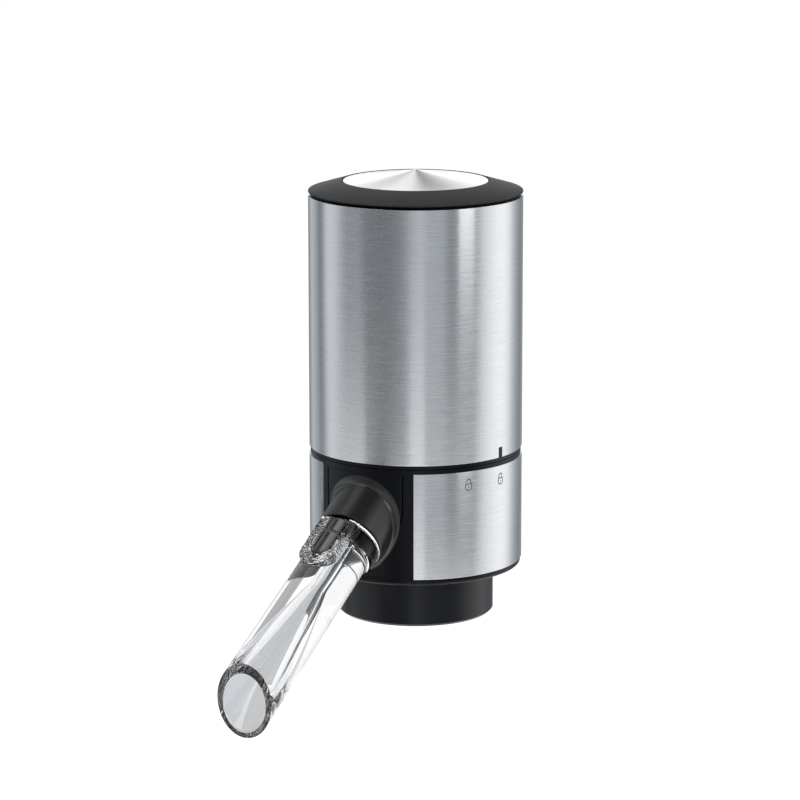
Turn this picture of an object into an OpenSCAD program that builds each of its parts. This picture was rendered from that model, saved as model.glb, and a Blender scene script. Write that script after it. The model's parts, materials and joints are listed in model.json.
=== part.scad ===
// Electric wine pourer that sits on a bottle.
// A motorised head is twist-locked onto a pouring base with a clear spout.
// Origin: centre of the bottle socket's mouth. +Z is up and the spout points to -Y.
// All sizes are in millimetres.

/* [Steel body] */
// Outer diameter of both brushed steel sleeves
body_d = 55; // [50:0.5:62]
// Wall of the steel sleeves
sleeve_t = 0.8; // [0.5:0.1:1.2]
// Height of the lower sleeve, round the pouring base
lower_sleeve_h = 27.4; // [26:0.2:34]
// Height of the upper sleeve, round the head
upper_sleeve_h = 65.2; // [65:0.2:74]
// Angle of the front window in the lower sleeve
window_deg = 60.4; // [54:0.2:72]
// Wall of the black plastic shells behind the sleeves
shell_t = 1.75; // [1.4:0.05:2.2]

/* [Black trim] */
// Height of the black band between the two sleeves
band_h = 2.1; // [1.6:0.1:3]
// Step from the sleeves in to the black band and the base rim
rim_step = 0.3; // [0.1:0.05:0.6]
// Step from the sleeves in to the front panel
panel_step = 0.4; // [0.2:0.05:0.6]
// Width of the groove between the front panel and the sleeve's cut edges
panel_groove = 0.65; // [0.4:0.05:1.2]
// Thickness of the base plate, which shows as a rim below the lower sleeve
base_t = 1.7; // [1.7:0.1:2.6]
// Rounding of the base plate's lower edge
base_round = 0.8; // [0.4:0.1:0.8]

/* [Bottle socket] */
// Outer diameter of the bottle collar
collar_d = 40.3; // [38:0.1:41]
// Height of the collar below the base plate
collar_h = 12.6; // [10:0.2:16]
// Diameter of the bottle finish that the seal grips
bottle_d = 29.5; // [28:0.1:30.5]
// Wall of the silicone neck seal
seal_t = 1.5; // [1:0.1:2]
// Height of the seal's bore, up to the ledge that the bottle's lip meets
seal_h = 13; // [9:0.2:14]

/* [Spout] */
// Slope of the spout below the horizontal
spout_slope = 32; // [31:0.5:33]
// Height above the lower sleeve at which the spout's axis crosses the body's axis
spout_rise = 3.3; // [2.8:0.1:3.4]
// Outer diameter of the spout's tube where it leaves the plug
spout_d = 15; // [12:0.1:15.4]
// Outer diameter of the spout's tube at the middle of its mouth
mouth_d = 15.9; // [14:0.1:17]
// Wall of the spout's tube at the middle of its mouth
spout_wall = 1.75; // [1:0.05:2.2]
// Length along the spout's axis, from the body's axis to the middle of its slanted mouth
spout_len = 95; // [70:1:110]
// Bore of the spout's plug, where the wine comes in from the duct
throat_d = 2.8; // [2:0.1:4]
// Length of the narrow bore beyond the plug, before it widens to the mouth
throat_len = 13.7; // [4:0.1:20]
// Slant of the mouth against a square cut
mouth_deg = 36; // [0:1:45]
// Outer diameter of the spout's plug, which slides into the socket
plug_d = 16.2; // [15.8:0.1:16.6]
// Length of the plug that stays outside the socket
plug_out = 5.2; // [3:0.1:8]
// Outer diameter of the socket at its rim
socket_d = 18; // [17.6:0.1:18.6]
// Distance of the socket's rim along the spout's axis, from the body's axis
socket_len = 38.1; // [36.5:0.1:42]
// Radius of the flare where the socket meets the front panel
flare_r = 1.1; // [0.5:0.1:1.6]
// Half width of the rounded plate that carries the socket
plate_half_w = 11; // [10.6:0.1:11.4]
// Half width of the flat saddle on top of the spout
saddle_half_w = 5; // [4:0.1:5.6]
// Length of the saddle outside the socket
saddle_len = 17; // [14:0.5:22]
// Height of the saddle's top above the spout's axis
saddle_up = 8.4; // [8.3:0.1:9.2]
// Width of the black index tab in the saddle
tab_w = 5; // [4:0.1:6]
// Length of the index tab outside the socket
tab_len = 13; // [10:0.5:15]

/* [Twist lock] */
// Turn of the head from locked to unlocked
twist_deg = 22.5; // [15:0.5:40]
// Angle from the spout to the pointer mark, to the right seen from the front
pointer_deg = 83; // [60:1:110]
// Width of the pointer mark
pointer_w = 1.4; // [1:0.1:2.4]
// Height of the pointer mark
pointer_h = 2.6; // [1.6:0.1:5]
// Height of the spigot that the head locks onto
spigot_h = 6.5; // [6:0.1:7]
// Number of bayonet lugs
lug_count = 3; // [2:1:4]
// Width of one lug as an angle
lug_deg = 20; // [14:1:24]
// Height of one lug
lug_h = 2; // [1.6:0.1:2.2]
// Reach of a lug out of the spigot
lug_reach = 1.5; // [1.2:0.1:1.6]

/* [Top button] */
// Diameter of the spun metal button
button_d = 37.2; // [32:0.2:38]
// Rise of the button's cone from its edge to its tip
cone_h = 2.9; // [0.6:0.1:4]
// Height of the bezel's upright wall above the upper sleeve
bezel_wall_h = 1.1; // [0.8:0.1:1.6]
// Rise of the bezel's sloping top, from its wall to the button
bezel_rise = 2.3; // [1.6:0.1:3]
// Travel of the button
button_travel = 1.0; // [0.4:0.1:1.2]

/* [Batteries] */
// Diameter of one AAA cell
cell_d = 10.4; // [10:0.1:10.5]
// Length of one AAA cell with its nub
cell_len = 44.5; // [43.5:0.1:44.6]

/* [Pump] */
// Diameter of the motor and pump
pump_d = 23.8; // [20:0.1:23.8]
// Length of the motor can
motor_len = 24; // [18:0.5:26]
// Diameter of the motor shaft
shaft_d = 2; // [1.5:0.1:2.5]
// Offset of the crank pin from the shaft
crank_offset = 1.4; // [0.8:0.1:1.6]

/* [Ducts] */
// Outer diameter of the nipple that takes the dip tube
nipple_d = 5.2; // [4:0.1:5.4]
// Outer diameter of the wine duct
duct_d = 6.8; // [6:0.1:6.8]
// Bore of the wine duct
duct_bore = 4; // [3:0.1:4.4]
// Distance of the wine duct in front of the body's axis
duct_y = 6.2; // [6.2:0.1:6.6]

/* [Hidden] */
$fn = 96;

// Clearances
fit = 0.05;       // two still pieces that seat in each other
slide = 0.1;      // a piece that slides or turns in another
run = 0.3;        // moving faces that stay apart
seam = 0.3;       // visible groove round the socket's plate
eps = 0.01;       // overshoot of a cut past a face
far = 60;         // longer than any piece that is cut

// Radii
body_r = body_d / 2;
sleeve_in_r = body_r - sleeve_t;
core_r = sleeve_in_r - fit;
shell_in_r = core_r - shell_t;
rim_r = body_r - rim_step;
panel_r = body_r - panel_step;
inner_r = shell_in_r - fit;
collar_r = collar_d / 2;
bottle_r = bottle_d / 2;
seal_r = bottle_r + seal_t;

// Heights of the outside, from the collar's mouth up
base_z = collar_h;
lower_z = base_z + base_t;
band_z = lower_z + lower_sleeve_h;
upper_z = band_z + band_h;
band_gap = 0.15;
lower_flange_top = band_z + (band_h - band_gap) / 2;
upper_flange_z = lower_flange_top + band_gap;

// Twist lock
spigot_wall = 2;
spigot_r = shell_in_r - 0.65 - lug_reach - run;
lug_r = spigot_r + lug_reach;
deck_t = 1.8;
deck_top = lower_flange_top + spigot_h;
deck_z = deck_top - deck_t;
lug_top = deck_top - 0.6;
lug_z = lug_top - lug_h;
flange_t = 1.5;
shelf_z = lower_flange_top - flange_t;

// Bottle collar
collar_flange_t = 1.5;
collar_flange_r = collar_r + 1.15;
collar_flange_z = lower_z;
chamber_h = 5;
ceiling_z = seal_h + chamber_h;
ceiling_t = 2;
ceiling_top = max(ceiling_z + ceiling_t, collar_flange_z + collar_flange_t + ceiling_t);
chamber_r = bottle_r - 1.25;
collar_neck_r = seal_r + 2.3;
seal_lip_t = 1.2;
seal_lip_r = seal_r + 1.35;

// Screws of the base plate and of the head
screw_r = 0.85;
screw_head_r = 1.95;
screw_head_t = 0.8;
boss_r = 2.2;
base_screw_ring = (collar_flange_r + core_r) / 2 - 0.4;
base_screw_len = 9;
boss_end = 2;
clamp_t = 1;
base_screw_angles = [90, 195, 345];

// Spout axis: s is measured along it from the body's axis
spout_z = band_z + spout_rise;
s_sin = sin(spout_slope);
s_cos = cos(spout_slope);
duct_r = duct_d / 2;
elbow_z = spout_z - duct_y * s_sin / s_cos;
plug_r = plug_d / 2;
tube_r = spout_d / 2;
mouth_r = mouth_d / 2;
mouth_in_r = mouth_r - spout_wall;
mouth_past = mouth_r * tan(mouth_deg) + 1;
bore_r = plug_r + slide;
socket_r = socket_d / 2;
socket_taper = 0.3;
socket_base_r = socket_r + socket_taper;
socket_depth = 8.46;
socket_floor_t = 2.5;
socket_back = panel_r / s_cos - socket_depth;
socket_stop = socket_back + socket_floor_t;
plug_s = socket_stop + run;
plug_end = socket_len + plug_out;
throat_end = plug_end + throat_len;
plate_up = 4.5;
plate_z = spout_z - panel_r * s_sin / s_cos + plate_up;
plate_reach = 6;
oring_back = 3.5;
oring_s = plug_s + oring_back;
oring_wire_r = 0.7;
tab_half_w = tab_w / 2;
tab_hold = 4;
tab_s = socket_len - tab_hold;
tab_end = socket_len + tab_len;
tab_t = 1.05;
tab_top = plug_r;
tab_floor = tab_top - tab_t;
saddle_end = socket_len + saddle_len;

// Air path
air_r = 1.9;
air_bore_r = 1;
air_foot_r = 2.6;
air_cup_r = 3.3;
nozzle_r = 2.05;
air_seat_r = nozzle_r + 0.4;
air_cup_z = deck_z - 2.8;
nozzle_tip = air_cup_z + 1.2;
valve_r = 1.45;

// Pump and motor, stacked from the head's floor up
floor_gap = 1;
floor_t = 1.8;
floor_z = deck_top + floor_gap;
carrier_z = floor_z + floor_t;
cover_t = 5;
valve_plate_z = carrier_z + cover_t;
valve_plate_t = 1.5;
diaphragm_z = valve_plate_z + valve_plate_t;
diaphragm_t = 1;
case_z = diaphragm_z + diaphragm_t;
case_h = 12.5;
case_wall = 1.3;
cup_h = 3;
swing_z = case_z + cup_h;
swing_t = 1.5;
hub_gap = 2;
hub_z = swing_z + swing_t + hub_gap;
hub_h = 3.5;
hub_r = 5;
crank_r = 0.75;
crank_hold = 1.2;
shaft_z = hub_z + crank_hold + 0.4;
motor_z = case_z + case_h;
motor_wall = 0.8;
motor_cap_z = motor_z + motor_len;
motor_cap_t = 2;
magnet_t = 2;
magnet_end = 4;
armature_end = 5;
shaft_r = shaft_d / 2;
cup_count = 3;

// Rest of the head, hung from the bezel
// The bezel stands on the sleeve, or higher where the cells or the motor need the room
plate_t = 0.4;
spring_min = 3.6;
board_t = 1.6;
ledge_t = 1.5;
ledge_w = 1.1;
board_lap = 0.8;
seat_t = 1.5;
bezel_plug_h = 3.525;
inner_top = max(carrier_z + 2 * plate_t + spring_min + cell_len, motor_cap_z + motor_cap_t + run);
bezel_z = max(upper_z + upper_sleeve_h, inner_top + board_t + ledge_t + seat_t + bezel_plug_h);
seat_top = bezel_z - bezel_plug_h;
seat_z = seat_top - seat_t;
ledge_z = seat_z - ledge_t;
carrier_top = ledge_z - board_t;
cell_z = carrier_z + plate_t;
spring_room = carrier_top - plate_t - cell_z - cell_len;

// Button
button_r = button_d / 2;
bezel_in_r = button_r + 0.25;
bezel_edge_z = bezel_z + bezel_wall_h + bezel_rise;
bezel_lip_z = bezel_z + 1.35;
button_flange_r = button_r + 1.6;
button_flange_top = bezel_lip_z - 0.15;
button_flange_t = 1.4;
button_flange_z = button_flange_top - button_flange_t;
disc_z = button_flange_top + 0.8;
disc_edge_z = bezel_edge_z + 0.1;
switch_half = 3;
switch_top = button_flange_z - 0.2 - button_travel - 0.2;
switch_body_h = 3.2;
spring_r = 7;
spring_wire_r = 0.25;

// Battery layout
cell_count = 4;
cell_r = cell_d / 2;
cell_well_r = cell_r + 0.25;
carrier_r = shell_in_r - run;
carrier_rim = 0.5;
carrier_wall = 1.2;
cell_ring = carrier_r - carrier_rim - cell_well_r;
head_screw_inset = 4.1;
head_screw_ring = carrier_r - head_screw_inset;
head_screw_len = 8;
relief_r = 3;

// Pump and motor, as wide as the room between the cells' wells lets them be
pump_r = min(pump_d / 2, cell_ring - cell_well_r - carrier_wall - slide);
well_r = pump_r + slide;
cup_inset = 5.9;
cup_ring = pump_r - cup_inset;
cup_r = cup_ring / 2;
cup_tip_r = 1.2;
swing_rim = 2.6;

// Shared shapes

// Ring between two radii.
module ring(r_out, r_in, z, h) {
    translate([0, 0, z]) difference() {
        cylinder(r = r_out, h = h);
        translate([0, 0, -eps]) cylinder(r = r_in, h = h + 2 * eps);
    }
}

// Part of a ring, from angle a0 over a sweep.
module arc_ring(r_out, r_in, z, h, a0, sweep) {
    translate([0, 0, z]) rotate([0, 0, a0]) rotate_extrude(angle = sweep)
        translate([r_in, 0]) square([r_out - r_in, h]);
}

// Copies of its children in a circle.
module around(angles, r) {
    for (a = angles) rotate([0, 0, a]) translate([r, 0, 0]) children();
}

// Children whose +Z runs along the spout's axis and whose +Y points to the spout's top.
module on_spout_axis() {
    translate([0, 0, spout_z]) rotate([90 + spout_slope, 0, 0]) children();
}

// Round bar along the spout's axis, from s0 to s1.
module spout_bar(r, s0, s1) {
    on_spout_axis() translate([0, 0, s0]) cylinder(r = r, h = s1 - s0);
}

// Screw with its head down at z and its shank pointing up.
module screw(z, len) {
    translate([0, 0, z]) {
        cylinder(r = screw_head_r, h = screw_head_t);
        cylinder(r = screw_r, h = len);
    }
}

// Hole for that screw through a plate: counterbore at z, then the shank's hole.
module screw_hole(z, depth) {
    translate([0, 0, z - eps]) cylinder(r = screw_head_r + slide, h = screw_head_t + eps);
    translate([0, 0, z]) cylinder(r = screw_r + slide, h = depth);
}

// Outline of the socket's plate, with a round lower end, in x and z.
module plate_outline(grow) {
    half = plate_half_w + grow;
    top = shelf_z - seam + grow;
    intersection() {
        union() {
            translate([0, plate_z]) circle(r = half);
            translate([-half, plate_z]) square([2 * half, top - plate_z]);
        }
        translate([-half, 0]) square([2 * half, top]);
    }
}

// That outline as a block through the front wall.
module plate_block(grow) {
    depth = body_r - shell_in_r + 2 * plate_reach;
    translate([0, plate_reach - shell_in_r, 0]) rotate([90, 0, 0])
        linear_extrude(height = depth) plate_outline(grow);
}

// Coil spring on the Z axis as one tube, wound by formula.
coil_sides = 6;
coil_rings = 8;
function coil_point(r, h, wire, turns, i, k) =
    let (a = 360 * i / coil_rings, b = 360 * k / coil_sides, rr = r + wire * cos(b))
    [rr * cos(a), rr * sin(a), wire + (h - 2 * wire) * i / (turns * coil_rings) + wire * sin(b)];
module coil_spring(r, h, wire, turns) {
    n = turns * coil_rings;
    points = [for (i = [0:n]) for (k = [0:coil_sides - 1]) coil_point(r, h, wire, turns, i, k)];
    sides = [for (i = [0:n - 1]) for (k = [0:coil_sides - 1]) for (half = [0, 1])
        let (a = i * coil_sides + k, b = i * coil_sides + (k + 1) % coil_sides)
        half == 0 ? [a, b, a + coil_sides] : [b, b + coil_sides, a + coil_sides]];
    first = [for (k = [1:coil_sides - 2]) [0, k + 1, k]];
    last = [for (k = [1:coil_sides - 2]) [n * coil_sides, n * coil_sides + k, n * coil_sides + k + 1]];
    polyhedron(points = points, faces = concat(sides, first, last));
}

// Pouring base

module base_plate() {
    color([0.09, 0.09, 0.1]) difference() {
        translate([0, 0, base_z]) rotate_extrude() {
            translate([0, base_round]) square([rim_r, base_t - base_round]);
            square([rim_r - base_round, base_round + eps]);
            translate([rim_r - base_round, base_round]) circle(r = base_round);
        }
        translate([0, 0, base_z - eps]) cylinder(r = collar_r + slide, h = base_t + 2 * eps);
        around(base_screw_angles, base_screw_ring) screw_hole(base_z, far);
    }
}

module bottle_collar() {
    edge = 0.6;
    color([0.1, 0.1, 0.11]) difference() {
        union() {
            translate([0, 0, edge]) cylinder(r = collar_r, h = lower_z - edge);
            cylinder(r1 = collar_r - edge, r2 = collar_r, h = edge);
            translate([0, 0, lower_z]) cylinder(r = collar_flange_r, h = collar_flange_t);
            cylinder(r = collar_neck_r, h = ceiling_top);
        }
        translate([0, 0, -eps]) cylinder(r = seal_r + fit, h = seal_h + eps);
        translate([0, 0, -eps]) cylinder(r = seal_lip_r + fit, h = seal_lip_t + fit + eps);
        cylinder(r = chamber_r, h = ceiling_z);
        cylinder(r = valve_r + fit, h = far);
        translate([0, -duct_y, 0]) cylinder(r = nipple_d / 2 + fit, h = far);
    }
}

module neck_seal() {
    color([0.16, 0.16, 0.17]) difference() {
        union() {
            cylinder(r = seal_r, h = seal_h);
            cylinder(r = seal_lip_r, h = seal_lip_t);
        }
        translate([0, 0, -eps]) cylinder(r = bottle_r, h = seal_h + 2 * eps);
    }
}

module lower_housing() {
    panel_deg = window_deg - 2 * asin(panel_groove / body_r);
    color([0.07, 0.07, 0.08]) difference() {
        union() {
            ring(core_r, shell_in_r, lower_z, shelf_z - lower_z + eps);
            arc_ring(panel_r, shell_in_r, lower_z, band_z - lower_z, -90 - panel_deg / 2, panel_deg);
            ring(core_r, spigot_r - spigot_wall, shelf_z, band_z - shelf_z + eps);
            ring(rim_r, spigot_r - spigot_wall, band_z, lower_flange_top - band_z);
            ring(spigot_r, spigot_r - spigot_wall, shelf_z, deck_z - shelf_z + eps);
            translate([0, 0, deck_z]) cylinder(r = spigot_r, h = deck_t);
            lugs();
            collar_clamp();
        }
        translate([0, 0, deck_z - eps]) cylinder(r = air_seat_r, h = deck_t + 2 * eps);
        plate_block(seam);
        spout_bar(socket_base_r + seam, socket_back - 2, socket_len);
        around(base_screw_angles, base_screw_ring) translate([0, 0, lower_z - eps])
            cylinder(r = screw_r + fit, h = base_screw_len);
    }
}

// Lugs on the spigot that hold the head down.
module lugs() {
    for (i = [0:lug_count - 1])
        arc_ring(lug_r, spigot_r - 1, lug_z, lug_h, lug_angle(i) - lug_deg / 2, lug_deg);
}
function lug_angle(i) = 30 + 360 * i / lug_count;

// Inner web that clamps the collar's flange, with the screw bosses.
module collar_clamp() {
    clamp_z = collar_flange_z + collar_flange_t;
    ring(core_r - fit, collar_neck_r + run, clamp_z, clamp_t);
    difference() {
        around(base_screw_angles, base_screw_ring) translate([0, 0, lower_z])
            cylinder(r = boss_r, h = base_screw_len + boss_end);
        translate([0, 0, lower_z - eps]) cylinder(r = collar_flange_r + fit, h = collar_flange_t + eps);
    }
}

module lower_sleeve() {
    color([0.75, 0.76, 0.78])
        arc_ring(body_r, sleeve_in_r, lower_z, lower_sleeve_h, -90 + window_deg / 2, 360 - window_deg);
}

module base_screws() {
    color([0.55, 0.55, 0.57])
        around(base_screw_angles, base_screw_ring) screw(base_z, base_screw_len);
}

// Nipple, riser, elbow and sloping tube that carry the wine up to the spout.
module wine_duct() {
    duct_end = socket_stop - fit;
    riser_z = ceiling_top + gasket_t;
    color([0.85, 0.87, 0.88]) difference() {
        union() {
            translate([0, -duct_y, riser_z]) cylinder(r = duct_r, h = elbow_z - riser_z);
            translate([0, -duct_y, elbow_z]) sphere(r = duct_r + elbow_swell);
            spout_bar(duct_r, duct_y / s_cos, duct_end);
            translate([0, -duct_y, nipple_z]) cylinder(r = nipple_d / 2, h = nipple_h);
            translate([0, -duct_y, nipple_z])
                cylinder(r = nipple_d / 2 - nipple_step, h = riser_z - nipple_z + eps);
        }
        translate([0, -duct_y, nipple_z - eps]) cylinder(r = nipple_bore / 2, h = elbow_z - nipple_z + eps);
        translate([0, -duct_y, elbow_z]) sphere(r = duct_bore / 2 + elbow_swell);
        spout_bar(duct_bore / 2, duct_y / s_cos, duct_end + eps);
    }
}
nipple_gap = 0.4;
nipple_step = 0.4;
nipple_z = seal_h + nipple_gap;
nipple_h = ceiling_z - nipple_gap - nipple_z;
nipple_wall = 1;
nipple_bore = nipple_d - 2 * nipple_wall;
elbow_swell = 0.3;
gasket_t = 0.8;

module duct_gasket() {
    color([0.3, 0.3, 0.32]) translate([0, -duct_y, 0])
        ring(duct_r, nipple_d / 2 + fit, ceiling_top, gasket_t);
}

module air_tube() {
    color([0.2, 0.2, 0.22]) difference() {
        union() {
            translate([0, 0, ceiling_top]) cylinder(r = air_r, h = deck_z - ceiling_top);
            translate([0, 0, ceiling_top]) cylinder(r = air_foot_r, h = 1);
            translate([0, 0, air_cup_z]) cylinder(r = air_cup_r, h = deck_z - air_cup_z);
        }
        translate([0, 0, ceiling_top - eps]) cylinder(r = air_bore_r, h = far);
        translate([0, 0, air_cup_z + 0.8]) cylinder(r = air_seat_r, h = far);
    }
}

module air_seal() {
    color([0.3, 0.3, 0.32])
        ring(air_seat_r - fit, nozzle_r + fit, air_cup_z + 1, deck_z - air_cup_z - 1.2);
}

// Duckbill valve that keeps wine out of the air tube.
module check_valve() {
    flange_r = 2.9;
    bill_h = 2.2;
    color([0.75, 0.75, 0.74]) difference() {
        union() {
            translate([0, 0, ceiling_z]) cylinder(r = valve_r, h = ceiling_top - ceiling_z);
            translate([0, 0, ceiling_z - 1]) cylinder(r = flange_r, h = 1);
            translate([0, 0, ceiling_z - 1 - bill_h]) cylinder(r1 = 0.9, r2 = valve_r, h = bill_h);
        }
        translate([0, 0, ceiling_z - 1]) cylinder(r = air_bore_r - 0.2, h = far);
    }
}

// Black socket on its rounded plate in the front panel.
module spout_socket() {
    color([0.12, 0.12, 0.12]) difference() {
        union() {
            intersection() {
                ring(panel_r, shell_in_r, lower_z, shelf_z - lower_z);
                plate_block(0);
            }
            on_spout_axis() translate([0, 0, socket_back])
                cylinder(r1 = socket_base_r, r2 = socket_r, h = socket_len - socket_back);
            on_spout_axis() socket_flare();
        }
        spout_bar(bore_r, socket_stop, socket_len + socket_depth);
        spout_bar(duct_r + fit, socket_back - 1, socket_stop + eps);
    }
}

// Distance along the spout's axis at which a line beside it leaves a cylinder of radius big.
// The line is at radius r and at angle a from the spout's top.
function wall_s(big, r, a) = (sqrt(big * big - pow(r * sin(a), 2)) - r * cos(a) * s_sin) / s_cos;
flare_steps = 5;
flare_turns = 60;
function flare_point(a, j) =
    let (t = 90 * j / flare_steps, r = socket_base_r - 0.1 + flare_r * (1 - sin(t)))
    [r * sin(a), r * cos(a), wall_s(panel_r + fit, r, a) + flare_r * (1 - cos(t)) / s_cos];
function flare_inner(a, lift) =
    let (r = (bore_r + socket_r) / 2)
    [r * sin(a), r * cos(a), wall_s(panel_r + fit, r, a) + lift];
module socket_flare() {
    per = flare_steps + 3;
    points = [for (i = [0:flare_turns - 1]) let (a = 360 * i / flare_turns)
        each concat([for (j = [0:flare_steps]) flare_point(a, j)],
            [flare_inner(a, flare_r / s_cos), flare_inner(a, 0)])];
    faces = [for (i = [0:flare_turns - 1]) for (j = [0:per - 1]) for (half = [0, 1])
        let (n = (i + 1) % flare_turns, k = (j + 1) % per)
        half == 0 ? [i * per + j, n * per + j, i * per + k] : [n * per + j, n * per + k, i * per + k]];
    polyhedron(points = points, faces = faces);
}

// Clear spout

// Outer radius of the spout's tube at distance s along its axis: it widens evenly from the plug to the mouth.
function tube_r_at(s) = tube_r + (mouth_r - tube_r) * (s - plug_end) / (spout_len - plug_end);

module spout() {
    color([0.9, 0.93, 0.95, 0.4]) on_spout_axis() difference() {
        union() {
            translate([0, 0, plug_s]) cylinder(r = plug_r, h = plug_end - plug_s);
            translate([0, 0, plug_s]) cylinder(r1 = tube_r_at(plug_s),
                r2 = tube_r_at(spout_len + mouth_past), h = spout_len + mouth_past - plug_s);
            saddle();
        }
        spout_bore();
        translate([0, 0, oring_s]) rotate_extrude() translate([plug_r - oring_wire_r + fit, 0])
            circle(r = oring_wire_r + fit);
        tab_pocket();
        translate([0, 0, spout_len]) rotate([-mouth_deg, 0, 0]) translate([-far / 2, -far, 0])
            cube([far, 2 * far, far]);
    }
}

// Bore of the spout: narrow through the plug and a little beyond it, then widening to the mouth.
module spout_bore() {
    throat_r = throat_d / 2;
    widening = (mouth_in_r - throat_r) / (spout_len - throat_end);
    translate([0, 0, plug_s - eps]) cylinder(r = throat_r, h = throat_end - plug_s + 2 * eps);
    translate([0, 0, throat_end])
        cylinder(r1 = throat_r, r2 = mouth_in_r + mouth_past * widening,
            h = spout_len - throat_end + mouth_past);
}

// Flat pad with a round front end on top of the spout.
module saddle() {
    s0 = socket_len + run;
    round_s = saddle_end - saddle_half_w;
    translate([-saddle_half_w, 0, s0]) cube([2 * saddle_half_w, saddle_up, round_s - s0]);
    translate([0, 0, round_s]) rotate([-90, 0, 0]) cylinder(r = saddle_half_w, h = saddle_up);
}

// Slot with a round front end, w wide and from y0 up, along the spout's top.
module tab_slot(half_w, y0, y1, s0, s1) {
    translate([-half_w, y0, s0]) cube([2 * half_w, y1 - y0, s1 - half_w - s0]);
    translate([0, y0, s1 - half_w]) rotate([-90, 0, 0]) cylinder(r = half_w, h = y1 - y0);
}

module tab_pocket() {
    tab_slot(tab_half_w + slide, tab_floor - fit, saddle_up + 1, tab_s - slide, tab_end + slide);
}

// Black index tab with two plain cells, rounded to the plug where it runs into the socket.
module spout_tab() {
    margin = 0.6;
    cell_depth = 0.25;
    split_s = socket_len + tab_len * 0.38;
    color([0.06, 0.06, 0.06]) on_spout_axis() difference() {
        tab_slot(tab_half_w, tab_floor, tab_top, tab_s, tab_end);
        ring(far, plug_r - slide, tab_s - eps, socket_len + run - tab_s + eps);
        translate([-tab_half_w + margin, tab_top - cell_depth, socket_len + margin])
            cube([tab_w - 2 * margin, 1, split_s - socket_len - 1.5 * margin]);
        tab_slot(tab_half_w - margin, tab_top - cell_depth, tab_top + 1,
            split_s + margin / 2, tab_end - margin);
    }
}

module spout_oring() {
    color([0.1, 0.1, 0.1]) on_spout_axis() translate([0, 0, oring_s])
        rotate_extrude() translate([plug_r - oring_wire_r + fit, 0]) circle(r = oring_wire_r);
}

// Head

module upper_sleeve() {
    color([0.75, 0.76, 0.78]) difference() {
        ring(body_r, sleeve_in_r, upper_z, upper_sleeve_h);
        pointer_bar(body_r + 1, pointer_w / 2 + fit, upper_z - eps, pointer_h + fit);
    }
}

// Upright bar at the pointer's angle, out to radius r.
module pointer_bar(r, half_w, z, h) {
    rotate([0, 0, pointer_deg - 90]) translate([core_r - 1, -half_w, z])
        cube([r - core_r + 1, 2 * half_w, h]);
}

module upper_liner() {
    color([0.07, 0.07, 0.08]) {
        ring(core_r, shell_in_r, upper_z, bezel_z - upper_z - fit);
        ring(rim_r, shell_in_r, upper_flange_z, upper_z - upper_flange_z + eps);
        ring(shell_in_r + eps, shell_in_r - ledge_w, ledge_z, ledge_t);
        pointer_bar(body_r - fit, pointer_w / 2, upper_z, pointer_h);
    }
}

// Floor of the head, with a skirt whose tracks take the base's lugs.
module bayonet_cap() {
    skirt_z = upper_flange_z;
    track_z = lug_z - run;
    track_top = lug_top + run;
    slack = 0.6;
    color([0.1, 0.1, 0.11]) difference() {
        union() {
            translate([0, 0, floor_z]) cylinder(r = inner_r, h = floor_t);
            ring(inner_r, spigot_r + run, skirt_z, floor_z - skirt_z + eps);
        }
        for (i = [0:lug_count - 1]) {
            a0 = lug_angle(i) - lug_deg / 2 - slack;
            track_deg = lug_deg + twist_deg + 2 * slack;
            entry_deg = lug_deg + 1.5 * slack;
            entry_r = lug_r + run + slide;
            arc_ring(lug_r + run, spigot_r, track_z, track_top - track_z, a0, track_deg);
            arc_ring(entry_r, spigot_r, skirt_z - 1, track_z - skirt_z + 2, a0 + twist_deg, entry_deg);
        }
        translate([0, 0, floor_z - eps]) cylinder(r = nozzle_r + fit, h = floor_t + 2 * eps);
        around(head_screw_angles, head_screw_ring) screw_hole(floor_z, far);
    }
}
head_screw_angles = [for (i = [0:cell_count - 1]) 360 * (i + 0.5) / cell_count];
cell_angles = [for (i = [0:cell_count - 1]) 360 * i / cell_count];

module head_screws() {
    color([0.55, 0.55, 0.57]) around(head_screw_angles, head_screw_ring) screw(floor_z, head_screw_len);
}

// Black bezel round the button, plugged into the liner.
module top_bezel() {
    edge = 0.35;
    lip_r = button_flange_r + run;
    plug_in_r = inner_r - 1.8;
    color([0.13, 0.13, 0.13]) rotate_extrude() polygon([
        [bezel_in_r, bezel_lip_z], [lip_r, bezel_lip_z], [lip_r, bezel_z], [plug_in_r, bezel_z],
        [plug_in_r, seat_top], [inner_r, seat_top], [inner_r, bezel_z], [body_r, bezel_z],
        [body_r, bezel_z + bezel_wall_h - edge], [body_r - edge, bezel_z + bezel_wall_h],
        [bezel_in_r, bezel_edge_z]]);
}

// Batteries

module battery_carrier() {
    color([0.22, 0.22, 0.24]) difference() {
        translate([0, 0, carrier_z]) cylinder(r = carrier_r, h = carrier_top - carrier_z);
        translate([0, 0, carrier_z - eps]) cylinder(r = well_r, h = far);
        around(cell_angles, cell_ring) translate([0, 0, carrier_z - eps])
            cylinder(r = cell_well_r, h = far);
        around(head_screw_angles, head_screw_ring) {
            translate([0, 0, carrier_z - eps]) cylinder(r = screw_r + fit, h = head_screw_len);
            translate([0, 0, carrier_z + head_screw_len + 3]) cylinder(r = relief_r, h = far);
        }
    }
}

// One AAA cell standing on z, nub up.
module aaa_cell() {
    nub_h = 0.8;
    cylinder(r = cell_r, h = cell_len - nub_h);
    cylinder(r = 1.9, h = cell_len);
}

// Cells stand head to tail, so every other one is turned over.
module battery_cells() {
    color([0.2, 0.42, 0.3]) for (i = [0:cell_count - 1])
        rotate([0, 0, cell_angles[i]]) translate([cell_ring, 0, cell_z])
        if (i % 2 == 0) translate([0, 0, spring_room]) aaa_cell();
        else translate([0, 0, cell_len]) mirror([0, 0, 1]) aaa_cell();
}

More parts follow.
